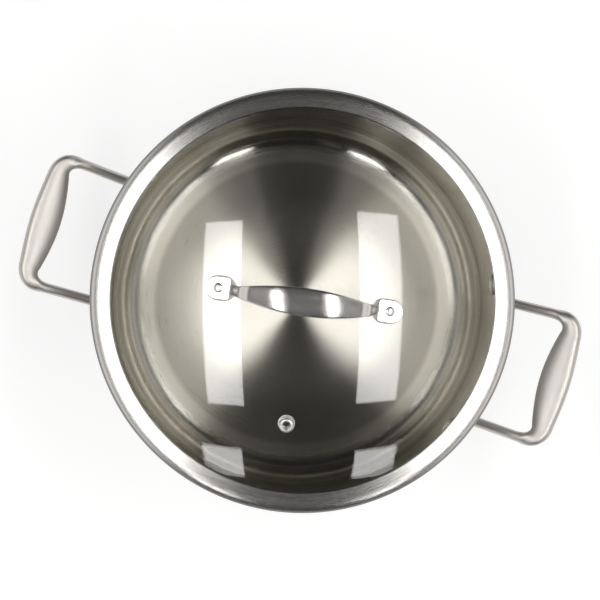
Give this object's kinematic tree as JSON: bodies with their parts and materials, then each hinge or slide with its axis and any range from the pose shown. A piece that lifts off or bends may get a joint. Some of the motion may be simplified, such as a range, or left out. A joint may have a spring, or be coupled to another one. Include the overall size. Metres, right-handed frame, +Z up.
{
  "type": "stock pot",
  "caption": "Round stainless steel stock pot with sandwich base, riveted cast loop side handles and a domed glass lid with steel band, strap handle and steam vent.",
  "frame": {"origin": "centre of the underside of the base, where the pot stands", "axes": "+Z up along the pot's axis, +X out through the middle of one side handle"},
  "size_m": [0.3668, 0.2678, 0.2238],
  "materials": {
    "pot_steel": "fine concentric brushing inside and out, warm grey",
    "core_aluminium": "plain rolled",
    "cast_steel": "satin, bead blasted then lightly polished",
    "band_steel": "satin, brushed round the band",
    "strap_steel": "semi-bright, brushed along the strap",
    "polished_steel": "polished",
    "glass": "clear tempered, faint green at the edge",
    "silicone": "translucent, matte"
  },
  "bodies": {
    "pot": {"pot_body": "pot_steel", "base_core": "core_aluminium", "base_cap": "pot_steel", "side_handle_right": "cast_steel", "side_handle_left": "cast_steel", "side_handle_rivet_right_a": "polished_steel", "side_handle_rivet_right_b": "polished_steel", "side_handle_rivet_left_a": "polished_steel", "side_handle_rivet_left_b": "polished_steel"},
    "lid_rim": {"lid_band": "band_steel", "lid_edge_seal": "silicone"},
    "lid": {"lid_glass": "glass", "lid_handle": "strap_steel", "lid_handle_rivet_a": "polished_steel", "lid_handle_rivet_b": "polished_steel", "lid_handle_gasket_a": "silicone", "lid_handle_gasket_b": "silicone", "lid_inner_gasket_a": "silicone", "lid_inner_gasket_b": "silicone", "lid_inner_washer_a": "polished_steel", "lid_inner_washer_b": "polished_steel", "vent_eyelet": "polished_steel", "vent_washer": "polished_steel"}
  },
  "joints": [
    {"name": "lid_lift", "type": "slide", "parent": "pot", "child": "lid_rim", "axis": [0, 0, 1], "range_m": [0, 0.2]},
    {"name": "lid_turn", "type": "hinge", "parent": "lid_rim", "child": "lid", "pos_m": [0, 0, 0.162], "axis": [0, 0, 1], "continuous": true}
  ]
}
